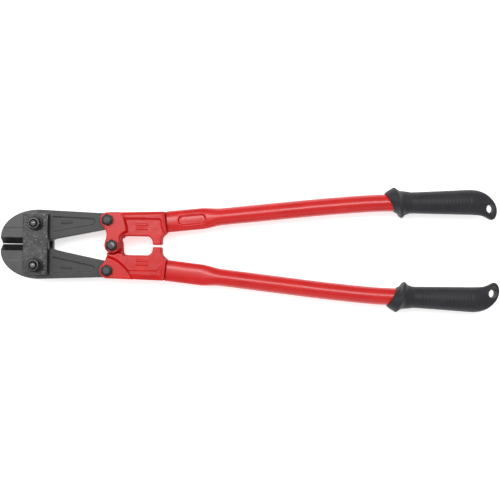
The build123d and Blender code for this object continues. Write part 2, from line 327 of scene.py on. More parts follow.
def jaw_height(x, y, depth):
    """Half thickness: the flat face, less the worn edge, the pocket and the bevel.

    Ahead of the plates the face falls at 45 degrees to the blade's edge, with a
    slight hollow from the wheel; a faint second grind runs along the cheek.
    """
    flat = jaw_half - worn_edge(depth, 0.7)
    pocket = inside(x, y, jaw_pocket)
    flat = flat - 0.85 * rise(pocket - 0.8, 1.6) - 0.25 * rise(x + 240.9, 1.0) * rise(1.0 - pocket, 1.0)
    flat = flat + 0.5 * rise(inside(x, y, jaw_bar), 1.1)
    cheek = 0.22 * rise(19.5 + 0.03 * (x + 300) - y, 0.6) * rise(-272.0 - x, 2.0)
    slope = (y - blade_gap) + 0.12 - 0.12 * np.sin(np.clip((y - blade_gap) / 7.8, 0, 1) * math.pi)
    ground = np.minimum(flat - cheek, np.maximum(slope, 0.12))
    return np.where(x < bevel_back, ground, flat)


def make_node(tree, kind, place, values=(), **settings):
    """One shader node with its settings and its constant inputs."""
    node = tree.nodes.new(kind)
    node.location = place
    for key, value in settings.items():
        setattr(node, key, value)
    for key, value in dict(values).items():
        node.inputs[key].default_value = value
    return node


def new_group(name, inputs, outputs):
    """An empty node group with named sockets: (name, kind, default) each."""
    group = bpy.data.node_groups.new(name, "ShaderNodeTree")
    for label, kind, default in inputs:
        socket = group.interface.new_socket(name=label, in_out="INPUT", socket_type=kind)
        if default is not None:
            socket.default_value = default
    for label, kind in outputs:
        group.interface.new_socket(name=label, in_out="OUTPUT", socket_type=kind)
    return group, group.nodes.new("NodeGroupInput"), group.nodes.new("NodeGroupOutput")


def mottle_group():
    """Cloudy patches: two sizes of noise multiplied, then sharpened into a mask."""
    group, given, result = new_group(
        "mottle", [("Scale", "NodeSocketFloat", 60.0), ("Low", "NodeSocketFloat", 0.35),
                   ("High", "NodeSocketFloat", 0.65)],
        [("Mask", "NodeSocketFloat")])
    place = make_node(group, "ShaderNodeTexCoord", (-800, 0))
    large = make_node(group, "ShaderNodeTexNoise", (-600, 100), {"Detail": 6.0, "Roughness": 0.62})
    double = make_node(group, "ShaderNodeMath", (-760, -200), {1: 4.3}, operation="MULTIPLY")
    small = make_node(group, "ShaderNodeTexNoise", (-600, -200), {"Detail": 4.0, "Roughness": 0.7})
    mix = make_node(group, "ShaderNodeMath", (-400, 0), {1: 0.35}, operation="MULTIPLY_ADD")
    spread = make_node(group, "ShaderNodeMapRange", (-200, 0), interpolation_type="SMOOTHSTEP")
    lift = make_node(group, "ShaderNodeMath", (-300, 100), {1: 0.175}, operation="SUBTRACT")
    link = group.links.new
    link(place.outputs["Object"], large.inputs["Vector"])
    link(place.outputs["Object"], small.inputs["Vector"])
    link(given.outputs["Scale"], large.inputs["Scale"])
    link(given.outputs["Scale"], double.inputs[0])
    link(double.outputs[0], small.inputs["Scale"])
    link(small.outputs["Fac"], mix.inputs[0])
    link(large.outputs["Fac"], mix.inputs[2])
    link(mix.outputs[0], lift.inputs[0])
    link(lift.outputs[0], spread.inputs["Value"])
    link(given.outputs["Low"], spread.inputs["From Min"])
    link(given.outputs["High"], spread.inputs["From Max"])
    link(spread.outputs["Result"], result.inputs["Mask"])
    return group


def wear_group():
    """Bare metal on outside edges: the surface's pointiness broken up by noise."""
    group, given, result = new_group(
        "edge_wear", [("Start", "NodeSocketFloat", 0.53), ("End", "NodeSocketFloat", 0.6),
                      ("Scale", "NodeSocketFloat", 300.0)],
        [("Mask", "NodeSocketFloat")])
    shape = make_node(group, "ShaderNodeNewGeometry", (-800, 100))
    place = make_node(group, "ShaderNodeTexCoord", (-800, -200))
    chips = make_node(group, "ShaderNodeTexNoise", (-600, -200), {"Detail": 5.0, "Roughness": 0.7})
    uneven = make_node(group, "ShaderNodeMath", (-400, 0), {1: 0.09}, operation="MULTIPLY_ADD")
    centre = make_node(group, "ShaderNodeMath", (-300, 0), {1: 0.045}, operation="SUBTRACT")
    spread = make_node(group, "ShaderNodeMapRange", (-200, 0), interpolation_type="SMOOTHSTEP")
    link = group.links.new
    link(place.outputs["Object"], chips.inputs["Vector"])
    link(given.outputs["Scale"], chips.inputs["Scale"])
    link(chips.outputs["Fac"], uneven.inputs[0])
    link(shape.outputs["Pointiness"], uneven.inputs[2])
    link(uneven.outputs[0], centre.inputs[0])
    link(centre.outputs[0], spread.inputs["Value"])
    link(given.outputs["Start"], spread.inputs["From Min"])
    link(given.outputs["End"], spread.inputs["From Max"])
    link(spread.outputs["Result"], result.inputs["Mask"])
    return group


def grain_group():
    """Surface height of a cast, forged or ground face: noise stretched along an axis."""
    group, given, result = new_group(
        "surface_grain", [("Stretch", "NodeSocketVector", (1.0, 1.0, 1.0)), ("Scale", "NodeSocketFloat", 500.0)],
        [("Height", "NodeSocketFloat")])
    place = make_node(group, "ShaderNodeTexCoord", (-800, 0))
    scaled = make_node(group, "ShaderNodeVectorMath", (-600, 0), operation="MULTIPLY")
    noise = make_node(group, "ShaderNodeTexNoise", (-400, 0), {"Detail": 4.0, "Roughness": 0.6})
    link = group.links.new
    link(place.outputs["Object"], scaled.inputs[0])
    link(given.outputs["Stretch"], scaled.inputs[1])
    link(scaled.outputs[0], noise.inputs["Vector"])
    link(given.outputs["Scale"], noise.inputs["Scale"])
    link(noise.outputs["Fac"], result.inputs["Height"])
    return group


mottle, edge_wear, surface_grain = mottle_group(), wear_group(), grain_group()


def finish_material(name, dark, light, rough, metal, patches, wear, grain, coat=0.0, coat_rough=0.1,
                    worn=(0.42, 0.42, 0.41), shine=0.5):
    """A finish of two tones with patches, worn edges and a fine surface.

    patches is (scale, low, high), wear (start, end, scale), grain (stretch,
    scale, strength, height), rough the roughness of the two tones, worn the
    colour of the edges, and shine the specular level.
    """
    material = bpy.data.materials.new(name)
    material.use_nodes = True
    tree = material.node_tree
    shader = tree.nodes["Principled BSDF"]
    shader.inputs["Coat Weight"].default_value = coat
    shader.inputs["Coat Roughness"].default_value = coat_rough
    shader.inputs["Metallic"].default_value = metal
    shader.inputs["Specular IOR Level"].default_value = shine
    clouds = make_node(tree, "ShaderNodeGroup", (-900, 200), node_tree=mottle)
    for key, value in zip(("Scale", "Low", "High"), patches):
        clouds.inputs[key].default_value = value
    tone = make_node(tree, "ShaderNodeMix", (-650, 250), data_type="RGBA")
    tone.inputs[6].default_value = (*dark, 1.0)
    tone.inputs[7].default_value = (*light, 1.0)
    rubbed = make_node(tree, "ShaderNodeGroup", (-900, -50), node_tree=edge_wear)
    for key, value in zip(("Start", "End", "Scale"), wear):
        rubbed.inputs[key].default_value = value
    bare = make_node(tree, "ShaderNodeMix", (-400, 250), data_type="RGBA")
    bare.inputs[7].default_value = (*worn, 1.0)
    gloss = make_node(tree, "ShaderNodeMapRange", (-650, 0), {"To Min": rough[0], "To Max": rough[1]})
    fine = make_node(tree, "ShaderNodeGroup", (-900, -300), node_tree=surface_grain)
    fine.inputs["Stretch"].default_value = grain[0]
    fine.inputs["Scale"].default_value = grain[1]
    bump = make_node(tree, "ShaderNodeBump", (-400, -300), {"Strength": grain[2], "Distance": grain[3]})
    link = tree.links.new
    link(clouds.outputs["Mask"], tone.inputs[0])
    link(clouds.outputs["Mask"], gloss.inputs["Value"])
    link(tone.outputs[2], bare.inputs[6])
    link(rubbed.outputs["Mask"], bare.inputs[0])
    link(bare.outputs[2], shader.inputs["Base Color"])
    link(gloss.outputs["Result"], shader.inputs["Roughness"])
    link(fine.outputs["Height"], bump.inputs["Height"])
    link(bump.outputs["Normal"], shader.inputs["Normal"])
    return material


jaw_steel = finish_material("blackened_jaw_steel", (0.040, 0.040, 0.042), (0.062, 0.062, 0.065), (0.42, 0.52), 0.35,
                            (38.0, 0.35, 0.7), (0.54, 0.62, 260.0), ((1.0, 0.25, 1.0), 900.0, 0.25, 0.00012),
                            worn=(0.20, 0.20, 0.205))
cheek_steel = finish_material("ground_cheek_steel", (0.070, 0.070, 0.072), (0.100, 0.100, 0.103), (0.40, 0.50), 0.5,
                              (38.0, 0.35, 0.7), (0.56, 0.64, 260.0), ((1.0, 0.12, 1.0), 1200.0, 0.25, 0.0001),
                              worn=(0.26, 0.26, 0.265))
bevel_steel = finish_material("ground_bevel_steel", (0.035, 0.035, 0.037), (0.075, 0.075, 0.078), (0.3, 0.42), 0.85,
                              (60.0, 0.3, 0.7), (0.60, 0.7, 300.0), ((0.08, 1.0, 1.0), 1500.0, 0.3, 0.00008),
                              worn=(0.4, 0.4, 0.4))

for side, upper in (("upper", True), ("lower", False)):
    gx, gy = sheet_grid((-305, -3, -160, 43.5), jaw_step)
    gx, gy, depth, keep = cut_to_outline(gx, gy, lambda x, y: jaw_field(x, y, upper), jaw_step)
    half = jaw_height(gx, gy, depth)
    jaw = to_piece(side + "_jaw_forging", side + "_jaw", [side + "_jaw"],
                   [two_sided(gx, gy, half, -half, keep)], flip=not upper, sharp=42.0)
    middle, normal = face_rows(jaw, "center"), face_rows(jaw, "normal")
    ahead = middle[:, 0] < drawing_x + bevel_back / 1000
    ground = ahead & (np.abs(middle[:, 1]) < 0.0087) & (np.abs(normal[:, 1]) > 0.5)
    cheek = (middle[:, 0] < drawing_x + cheek_back / 1000) & (np.abs(normal[:, 2]) > 0.5) & ~ground
    paint(jaw, [jaw_steel, bevel_steel, cheek_steel], ground + 2 * cheek.astype(np.int32))

# The side plates are two straps cut from thick flat bar, edges broken, drilled
# for the jaw bolts, oil-blackened and rubbed bright in patches by use.
def drawing_box(node):
    """The two corners of a CAD node's box, in drawing millimetres."""
    return [1000 * np.array(corner) - 1000 * np.array([drawing_x, centre_y, middle_z]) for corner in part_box(node)]


plate_low, plate_high = drawing_box("front_side_plate")
plate_corner = 2.5
plate_step = 0.5
plate_loop = rounded_path([(plate_low[0], plate_low[1], plate_corner), (plate_high[0], plate_low[1], plate_corner),
                           (plate_high[0], plate_high[1], plate_corner),
                           (plate_low[0], plate_high[1], plate_corner)], steps=10)
plate_steel = finish_material("worn_plate_steel", (0.022, 0.022, 0.022), (0.080, 0.079, 0.078), (0.34, 0.50), 0.4,
                              (55.0, 0.40, 0.66), (0.56, 0.64, 350.0), ((1.0, 0.3, 1.0), 1000.0, 0.4, 0.00016),
                              worn=(0.20, 0.197, 0.19))
tree = plate_steel.node_tree
flecks = make_node(tree, "ShaderNodeGroup", (-900, 500), {"Scale": 420.0, "Low": 0.57, "High": 0.71},
                   node_tree=mottle)
rubs = make_node(tree, "ShaderNodeMix", (-150, 400), data_type="RGBA")
rubs.inputs[7].default_value = (0.25, 0.25, 0.243, 1.0)
base = tree.nodes["Principled BSDF"].inputs["Base Color"]
tree.links.new(base.links[0].from_socket, rubs.inputs[6])
tree.links.new(flecks.outputs["Mask"], rubs.inputs[0])
tree.links.new(rubs.outputs[2], base)
# Near black for the straps' side walls and underside: partly their unpolished oxide, and partly painted shade where
# the walls turn away from the light.
strap_side_oxide_shade = finish_material("oiled_plate_side", (0.008, 0.008, 0.008), (0.016, 0.016, 0.016), (0.4, 0.5), 0.0,
                             (62.0, 0.34, 0.66), (0.60, 0.7, 350.0), ((1.0, 1.0, 0.3), 900.0, 0.3, 0.00012),
                             worn=(0.10, 0.10, 0.10))


def plate_field(x, y):
    """Inside the strap and outside its two bolt holes."""
    holes = np.maximum(disc(x, y, jaw_pivot, bolt_bore), disc(x, -y, jaw_pivot, bolt_bore))
    return np.minimum(inside(x, y, plate_loop), -holes)


for side, flip in (("front", False), ("back", True)):
    gx, gy = sheet_grid((plate_low[0] - 1, plate_low[1] - 1, plate_high[0] + 1, plate_high[1] + 1), plate_step)
    gx, gy, depth, keep = cut_to_outline(gx, gy, plate_field, plate_step)
    top = plate_high[2] - worn_edge(depth, 0.9)
    bottom = plate_low[2] + worn_edge(depth, 0.4)
    plate = to_piece(side + "_strap", "side_plates", [side + "_side_plate"],
                     [two_sided(gx, gy, top, bottom, keep, rows=4)], flip=flip, sharp=40.0)
    # The walls and the underside take the near-black material, partly oxide and partly painted shade.
    oxide_shade_faces = face_rows(plate, "normal")[:, 2] * (-1 if flip else 1) < 0.4
    paint(plate, [plate_steel, strap_side_oxide_shade], oxide_shade_faces)


# The jaw bolts hold the straps: a hexagonal head behind, and in front a split
# spring washer, a chamfered nut and the domed end of the thread.
jaw_nut_flats = 13.0
bolt_radius = 4.0
thread_pitch = 1.25
chamfer_slope = math.tan(math.radians(28.0))


def ring_quads(rows, around):
    """The faces between rows of points that each run once round."""
    number = np.arange(rows * around).reshape(rows, around)
    ahead = np.roll(number, -1, axis=1)
    return np.stack([number[:-1], ahead[:-1], ahead[1:], number[1:]], axis=-1).reshape(-1, 4)


def hex_reach(angle, flats):
    """Distance from a hexagon's middle to its side at each angle."""
    return flats / 2 / np.cos((angle + math.pi / 6) % (math.pi / 3) - math.pi / 6)


def hex_sizes(flats):
    """The chamfer circle's radius, the corners' radius, and the chamfer's drop."""
    face = flats / 2 * 0.955
    corner = flats / 2 * 1.1547
    return face, corner, chamfer_slope * (corner - face)


def turned(profile, centre, flats=None, swing=0.0, around=96):
    """A closed body turned round Z from profile rows (radius, height, slope sign).

    A hexagon of the given flats, turned by swing, caps each row's radius, and
    where it bites the height follows the row's own slope, as a chamfer does.
    """
    angle = np.linspace(0, 2 * math.pi, around, endpoint=False)
    radius = np.repeat(profile[:, :1], around, axis=1)
    height = np.repeat(profile[:, 1:2], around, axis=1)
    if flats is not None:
        limit = np.repeat(hex_reach(angle - swing, flats)[None, :], len(profile), axis=0)
        height = np.where(radius > limit, height + profile[:, 2:3] * chamfer_slope * (radius - limit), height)
        radius = np.minimum(radius, limit)
    x = centre[0] + radius * np.cos(angle)
    y = centre[1] + radius * np.sin(angle)
    return np.stack([x, y, height], axis=-1).reshape(-1, 3), ring_quads(len(profile), around)


def nut_profile(flats, low, high, bore, chamfer_low, chamfer_high):
    """Rows (radius, height, slope sign) of a nut from its bore round to its bore."""
    face, corner, drop = hex_sizes(flats)
    rows = [(bore, high - 0.5, 0), (bore + 0.5, high, 0), (face - 0.4, high, 0),
            (face if chamfer_high else corner, high, 0)]
    if chamfer_high:
        rows += [(corner, high - drop, 1)]
    else:
        rows += [(corner + 0.01, high - 0.05, 0)]
    rows += [(corner + 0.01, (low + high) / 2, 0)]
    if chamfer_low:
        rows += [(corner, low + drop, -1), (face, low, 0)]
    else:
        rows += [(corner, low, 0)]
    rows += [(bore + 0.5, low, 0), (bore, low + 0.5, 0), (bore, high - 0.5, 0)]
    return np.array(rows, dtype=float)


def head_profile(flats, low, high, disc_radius, disc_height):
    """Rows of a solid bolt head with a raised turned disc on its free face."""
    face, corner, drop = hex_sizes(flats)
    rows = [(0.001, high + disc_height, 0), (disc_radius - 0.5, high + disc_height, 0),
            (disc_radius - 0.1, high + disc_height - 0.15, 0), (disc_radius, high + disc_height * 0.4, 0),
            (disc_radius + 0.1, high, 0), (face, high, 0), (corner, high - drop, 1),
            (corner + 0.01, (low + high) / 2, 0), (corner + 0.01, low, 0), (0.001, low, 0)]
    return np.array(rows, dtype=float)


def thread_profile(radius, low, high, pitch, dome):
    """Rows of a thread drawn as rings: a wave of the pitch, then a domed end."""
    heights = np.arange(low, high - 0.6, pitch / 8)
    wave = radius - 0.18 - 0.18 * np.cos(heights * 2 * math.pi / pitch)
    rows = [(0.001, high + dome, 0)]
    rows += [((radius - 0.7) * math.sin(a), high + dome * math.cos(a), 0)
             for a in np.linspace(0.15, math.pi / 2, 8)]
    rows += [(r, h, 0) for r, h in zip(wave[::-1], heights[::-1])]
    rows += [(0.001, low, 0)]
    return np.array(rows, dtype=float)


black_bolt = finish_material("black_bolt_steel", (0.009, 0.009, 0.010), (0.020, 0.020, 0.022), (0.34, 0.46), 0.0,
                             (120.0, 0.35, 0.7), (0.56, 0.66, 500.0), ((1.0, 1.0, 1.0), 1500.0, 0.2, 0.00006),
                             worn=(0.16, 0.16, 0.16), shine=0.3)
turned_disc = finish_material("turned_disc_steel", (0.060, 0.060, 0.062), (0.090, 0.090, 0.093), (0.50, 0.60), 0.1,
                              (160.0, 0.35, 0.7), (0.56, 0.66, 500.0), ((1.0, 1.0, 1.0), 1200.0, 0.15, 0.00006))
rubbed_rim = finish_material("rubbed_nut_rim", (0.11, 0.11, 0.107), (0.22, 0.22, 0.215), (0.3, 0.4), 0.6,
                             (300.0, 0.3, 0.7), (0.56, 0.66, 500.0), ((1.0, 1.0, 1.0), 1200.0, 0.15, 0.00006))


def split_washer(centre, inner, outer, low, high, gap=0.09, lift=0.5):
    """A spring washer: a square section carried round a turn less the gap.

    Its height climbs by lift from one cut end to the other.
    """
    angle = np.linspace(gap, 2 * math.pi - gap, 90)
    ramp = lift * (angle / (2 * math.pi) - 0.5)
    thick = (high - low) / 2 - lift / 2
    mid = (high + low) / 2
    corner = 0.35
    section = rounded_path([(inner, -thick, corner), (outer, -thick, corner), (outer, thick, corner),
                            (inner, thick, corner)], steps=3)
    x = centre[0] + section[None, :, 0] * np.cos(angle)[:, None]
    y = centre[1] + section[None, :, 0] * np.sin(angle)[:, None]
    z = mid + section[None, :, 1] + ramp[:, None]
    rows, around = x.shape
    number = np.arange(rows * around).reshape(rows, around)
    caps = [[number[row, i], number[row, i + 1], number[row, around - 2 - i], number[row, around - 1 - i]]
            for row in (0, rows - 1) for i in range(around // 2 - 1)]
    points = np.stack([x, y, z], axis=-1).reshape(-1, 3)
    return points, np.concatenate([ring_quads(rows, around), np.array(caps)])


strap_top = plate_high[2]
washer_low, washer_high = [corner[2] for corner in drawing_box("upper_jaw_washer")]
nut_low, nut_high = [corner[2] for corner in drawing_box("upper_jaw_nut")]
thread_end = drawing_box("upper_jaw_bolt")[1][2]
for side, sign, swing in (("upper", 1, 0.38), ("lower", -1, 0.12)):
    place = (jaw_pivot[0], sign * jaw_pivot[1])
    nut = turned(nut_profile(jaw_nut_flats, nut_low, nut_high, bolt_bore, False, True), place,
                 jaw_nut_flats, swing)
    piece = to_piece(side + "_jaw_hex_nut", "side_plates", [side + "_jaw_nut"], [nut], sharp=30)
    middle = 1000 * (face_rows(piece, "center") - np.array([drawing_x, centre_y, middle_z]))
    out = np.hypot(middle[:, 0] - place[0], middle[:, 1] - place[1])
    paint(piece, [black_bolt, rubbed_rim], (out > 5.75) & (middle[:, 2] > nut_high - 0.02))
    ring = split_washer(place, 4.3, 8.75, washer_low, washer_high)
    piece = to_piece(side + "_jaw_spring_washer", "side_plates", [side + "_jaw_washer"], [ring],
                     sharp=30)
    paint(piece, [black_bolt])
    head = head_profile(jaw_nut_flats, strap_top, strap_top + 6.2, 5.2, 0.2)
    head[:, 1:] *= -1
    shank = thread_profile(bolt_radius, -strap_top - 0.2, thread_end - 1.6, thread_pitch, 1.5)
    parts = [turned(head, place, jaw_nut_flats, 0.2), turned(shank, place)]
    piece = to_piece(side + "_jaw_hex_bolt", "side_plates", [side + "_jaw_bolt"], parts, sharp=40)
    dome = face_rows(piece, "center")[:, 2] > middle_z + (thread_end - 1.0) / 1000
    paint(piece, [black_bolt, rubbed_rim], dome)

# The arms are two identical drop forgings, one turned over. The clevis ears
# stand proud of the sunken panel by a sloped forged step; a window, a stop
# lug and a rim are part of the forging. Thick red enamel covers all of it.
outer_arm = rounded_path([(-171.3, 39.85, 0), (-150, 40.4, 0), (-103.7, 41.8, 1.2), (-100.8, 16.8, 1.0),
                          (-107.6, 10.5, 7.0), (-107.6, 1.35, 1.8), (-117.7, 1.35, 1.8), (-117.9, 11.6, 7.5),
                          (-155.0, 11.6, 4.6), (-156.3, 1.4, 2), (-165.7, 0, 0), (-175.0, 2.0, 0), (-174.2, 6.0, 6),
                          (-170.4, 14.5, 14), (-179.7, 25.8, 0), (-171.3, 30.35, 0)])
front_flange = rounded_path([(-192, 46, 0), (-158.8, 46, 0), (-156.4, 41.2, 10), (-153.0, 37.5, 14),
                             (-150.6, 32.6, 20), (-148.2, 24, 20), (-147.2, 16.6, 2.0), (-151.5, 14.4, 5),
                             (-155.4, 11.0, 4), (-155.8, -12, 0), (-192, -12, 0)])
back_flange = rounded_path([(-192, 12.7, 0), (-171.2, 12.7, 8), (-160.7, 16.2, 24), (-149.7, 25.2, 40),
                            (-142.3, 35.1, 30), (-138, 46, 0), (-192, 46, 0)])
front_rim = rounded_path([(-160, 32.6, 0), (-108.0, 32.6, 2.4), (-106.9, 24, 12), (-104.8, 17.5, 3),
                          (-102.0, 15.2, 1), (-98, 15.2, 0), (-98, 52, 0), (-160, 52, 0)])
back_rim = rounded_path([(-160, 30.0, 0), (-111.5, 30.0, 2.4), (-107.3, 24.7, 6), (-104.3, 18.4, 1.5),
                         (-98, 18.4, 0), (-98, 52, 0), (-160, 52, 0)])
front_bars = [rounded_path([(-138, y, 1.1), (-124, y, 1.1), (-124, y + 2.6, 1.1), (-138, y + 2.6, 1.1)])
              for y in (19.6, 24.4)]
back_bars = [rounded_path([(-137, y, 1.1), (-123, y, 1.1), (-123, y + 2.6, 1.1), (-137, y + 2.6, 1.1)])
             for y in (16.2, 21.0)]
tail_slot = rounded_path([(-202, 17.55, 0), (-171.3, 17.55, 0), (-158.5, 30.35, 0), (-158.5, 61, 0), (-202, 61, 0)])
centre_pivot = (-165.7, 0.0)
ear_radius = 9.5
panel_half = 12.0
ear_rise = 5.0
slot_half = 8.4
arm_step = 0.45


def arm_front_field(x, y):
    """Inside the forging's outline or either ear, outside the two bolt holes."""
    body = np.maximum(inside(x, y, outer_arm), disc(x, y, link_pivot, ear_radius))
    body = np.maximum(body, disc(x, y, centre_pivot, ear_radius))
    holes = np.maximum(disc(x, y, link_pivot, bolt_bore), disc(x, y, centre_pivot, bolt_bore))
    return np.minimum(body, -holes)


def arm_back_field(x, y):
    """The same without the centre ear, which the other arm fills on this side."""
    body = np.maximum(inside(x, y, outer_arm), disc(x, y, link_pivot, ear_radius))
    relief = np.maximum(disc(x, y, centre_pivot, 10.6), np.minimum(-150.5 - x, 9.0 - y))
    return np.minimum(np.minimum(body, -relief), -disc(x, y, link_pivot, bolt_bore))


def slot_depth(x, y):
    """Inside the slot that the jaw's tail swings in."""
    return np.maximum(inside(x, y, tail_slot), disc(x, y, link_pivot, 12.8))


def forge_wander(x, y):
    """Slow unevenness of a hammered face, a few hundredths of a millimetre."""
    return 0.06 * np.sin(x * 0.31 + 1.7 * np.sin(y * 0.17)) * np.cos(y * 0.27 + 0.9 * np.sin(x * 0.13))


def raised_bars(x, y, loops):
    """Plain rounded bars forged on the panel, 0.7 mm proud."""
    return 0.7 * sum(rise(inside(x, y, loop), 1.0) for loop in loops)


def arm_front_height(x, y, depth):
    """Panel, rim and proud ears, joined by sloped steps, with rounded outer edges."""
    flange = rise(inside(x, y, front_flange) - 1.0, 3.4)
    rim = rise(inside(x, y, front_rim), 2.8) * (1 - flange)
    face = panel_half + ear_rise * flange + 2.2 * rim
    face = face + forge_wander(x, y) * (1 - flange) + raised_bars(x, y, front_bars)
    return face - worn_edge(depth, 1.6) - 1.0 * (1 - flange) * rim * rise(2.6 - depth, 3.0)


def arm_back_height(x, y, depth):
    """The other face: its proud flange is round the jaw bolt only."""
    flange = rise(inside(x, y, back_flange) - 1.0, 3.4)
    rim = rise(inside(x, y, back_rim), 2.0) * (1 - flange)
    face = panel_half + ear_rise * flange + 1.8 * rim
    face = face + forge_wander(y, x) * (1 - flange) + raised_bars(x, y, back_bars)
    return face - worn_edge(depth, 1.6) - 1.2 * (1 - flange) * rim * rise(4.0 - depth, 5.0)


arm_enamel = finish_material("red_arm_enamel", (0.57, 0.006, 0.006), (0.69, 0.012, 0.010), (0.32, 0.42), 0.0,
                             (45.0, 0.3, 0.7), (0.66, 0.74, 420.0), ((1.0, 1.0, 1.0), 420.0, 0.35, 0.00035),
                             coat=0.1, coat_rough=0.25, worn=(0.34, 0.02, 0.02), shine=0.42)
# A darker, duller red for the steep walls: painted shade in the recesses and along the forged steps.
wall_shade_enamel = finish_material("red_arm_wall_enamel", (0.42, 0.004, 0.004), (0.52, 0.008, 0.007), (0.60, 0.70), 0.0,
                           (45.0, 0.3, 0.7), (0.66, 0.74, 420.0), ((1.0, 1.0, 1.0), 420.0, 0.35, 0.00035),
                           worn=(0.30, 0.02, 0.02), shine=0.12)

for side, flip in (("upper", False), ("lower", True)):
    gx, gy = sheet_grid((-183, -11, -99, 44), arm_step)
    fx, fy, depth, keep = cut_to_outline(gx, gy, arm_front_field, arm_step)
    under = np.where(slot_depth(fx, fy) > 0, slot_half, np.where(arm_back_field(fx, fy) > -0.3, -0.05, 0.15))
    front = two_sided(fx, fy, arm_front_height(fx, fy, depth), under, keep, rows=6)
    bx, by, depth, keep = cut_to_outline(gx, gy, arm_back_field, arm_step)
    over = np.where(slot_depth(bx, by) > 0, -slot_half, 0.0)
    back = two_sided(bx, by, over, -arm_back_height(bx, by, depth), keep, rows=6)
    arm = to_piece(side + "_arm_forging", side + "_handle", [side + "_arm"], [front, back],
                   flip=flip, sharp=62.0)
    # Faces that stand steep take the darker red as painted shade.
    paint(arm, [arm_enamel, wall_shade_enamel], np.abs(face_rows(arm, "normal")[:, 2]) < 0.3)

# Each arm bolt has a small hexagonal head with a turned disc in front, and a
# plain washer and nut behind. The centre one holds both arms.
arm_head_flats = 12.4
ear_face = panel_half + ear_rise
nut_face = 18.4

for name, body, place, swing in (("upper_link", "upper_handle", link_pivot, 0.14),
                                 ("lower_link", "lower_handle", (link_pivot[0], -link_pivot[1]), 0.02),
                                 ("center", "center_pivot", centre_pivot, 0.06)):
    head = head_profile(arm_head_flats, ear_face, ear_face + 4.7, 4.1, 0.8)
    shank = thread_profile(bolt_radius, nut_face, 24.6, thread_pitch, 0.6)
    shank[:, 1:] *= -1
    core = np.array([(0.001, 17.2, 0), (3.95, 17.2, 0), (3.95, -19.0, 0), (0.001, -19.0, 0)])
    parts = [turned(head, place, arm_head_flats, swing), turned(shank, place), turned(core, place)]
    piece = to_piece(name + "_hex_bolt", body, [name + "_bolt"], parts, sharp=35)
    paint(piece, [black_bolt, turned_disc], face_rows(piece, "center")[:, 2] > middle_z + (ear_face + 5.2) / 1000)
    nut = nut_profile(arm_head_flats, -24.8, -nut_face, bolt_bore, True, False)
    piece = to_piece(name + "_hex_nut", body, [name + "_nut"],
                     [turned(nut, place, arm_head_flats, 0.3)], sharp=30)
    paint(piece, [black_bolt])
    ring = np.array([(4.1, -ear_face - 0.25, 0), (4.3, -ear_face, 0), (7.75, -ear_face, 0),
                     (8.0, -ear_face - 0.25, 0), (8.0, 0.25 - nut_face, 0), (7.75, -nut_face, 0),
                     (4.3, -nut_face, 0), (4.1, 0.25 - nut_face, 0), (4.1, -ear_face - 0.25, 0)])
    piece = to_piece(name + "_flat_washer", body, [name + "_washer"], [turned(ring, place)], sharp=50)
    paint(piece, [black_bolt])


# The handles are steel tube, squashed to an oval where they slide over the
# arm's tang, and crimped there by one long dimple. They are dipped in the
# same red enamel, which lies smoother on the drawn tube.
route = np.array([(-102.2, 29.55, 0.1122), (-34.6, 37.13, 0.1122), (36.7, 45.2, 0.112), (110.2, 53.0, 0.092),
                  (164.1, 57.0, 0.035), (272.0, 58.3, 0.012)])
tube_radius = 10.5
oval_half_y = 13.0
oval_half_z = 7.55


def tube_line(x):
    """Height and slope of the tube's centre line: cubics that keep height and slope."""
    i = np.clip(np.searchsorted(route[:, 0], x, side="right") - 1, 0, len(route) - 2)
    x0, y0, m0 = route[i].T
    x1, y1, m1 = route[i + 1].T
    h = x1 - x0
    t = (x - x0) / h
    y = (2 * t**3 - 3 * t**2 + 1) * y0 + (t**3 - 2 * t**2 + t) * h * m0
    y = y + (3 * t**2 - 2 * t**3) * y1 + (t**3 - t**2) * h * m1
    m = (6 * t**2 - 6 * t) * (y0 - y1) / h + (3 * t**2 - 4 * t + 1) * m0 + (3 * t**2 - 2 * t) * m1
    return y, m


def tube_surface():
    """The oval-to-round section carried along the centre line, with the crimp.

    The section is a superellipse whose two half widths and whose squareness
    blend from the pressed oval to the circle between 42 and 68 mm.
    """
    reach = np.concatenate([np.linspace(0, 1.2, 4), np.linspace(1.8, 74, 150), np.linspace(76, 374.5, 150)])
    along = reach * math.cos(math.radians(6.4)) - 101.9
    angle = np.linspace(0, 2 * math.pi, 96, endpoint=False)
    y, m = tube_line(along)
    blend = rise(reach - 55.0, 27.0)
    half_y = oval_half_y + (tube_radius - oval_half_y) * blend
    half_z = oval_half_z + (tube_radius - oval_half_z) * blend
    power = 2.5 + (2.0 - 2.5) * blend
    lip = 0.5 - np.sqrt(np.clip(0.25 - np.clip(0.5 - reach, 0, 0.5) ** 2, 0, 1))
    c, s = np.cos(angle)[None, :], np.sin(angle)[None, :]
    size = (np.abs(c) ** power[:, None] + np.abs(s) ** power[:, None]) ** (-1 / power[:, None])
    across = (half_y - lip)[:, None] * c * size
    depth = (half_z - lip)[:, None] * s * size
    run = np.abs(reach[:, None] - 31.0)
    crimp = 5.5 - np.hypot(np.clip(run - 11.0, 0, None), across)
    depth = depth - 2.5 * rise(crimp, 2.2) * (depth > 0)
    tilt = np.arctan(m)[:, None]
    x = along[:, None] - across * np.sin(tilt)
    yy = y[:, None] + across * np.cos(tilt)
    points = np.stack([x, yy, depth], axis=-1)
    first, last = [points[[i]].mean(axis=1, keepdims=True) * 0.999 + points[[i]] * 0.001 for i in (0, -1)]
    points = np.concatenate([first, points, last])
    return points.reshape(-1, 3), ring_quads(*points.shape[:2])


tube_enamel = finish_material("red_tube_enamel", (0.62, 0.006, 0.006), (0.70, 0.010, 0.009), (0.30, 0.38), 0.0,
                              (30.0, 0.3, 0.7), (0.80, 0.90, 300.0), ((0.3, 1.0, 1.0), 260.0, 0.10, 0.0002),
                              coat=0.3, coat_rough=0.13, worn=(0.3, 0.03, 0.028))

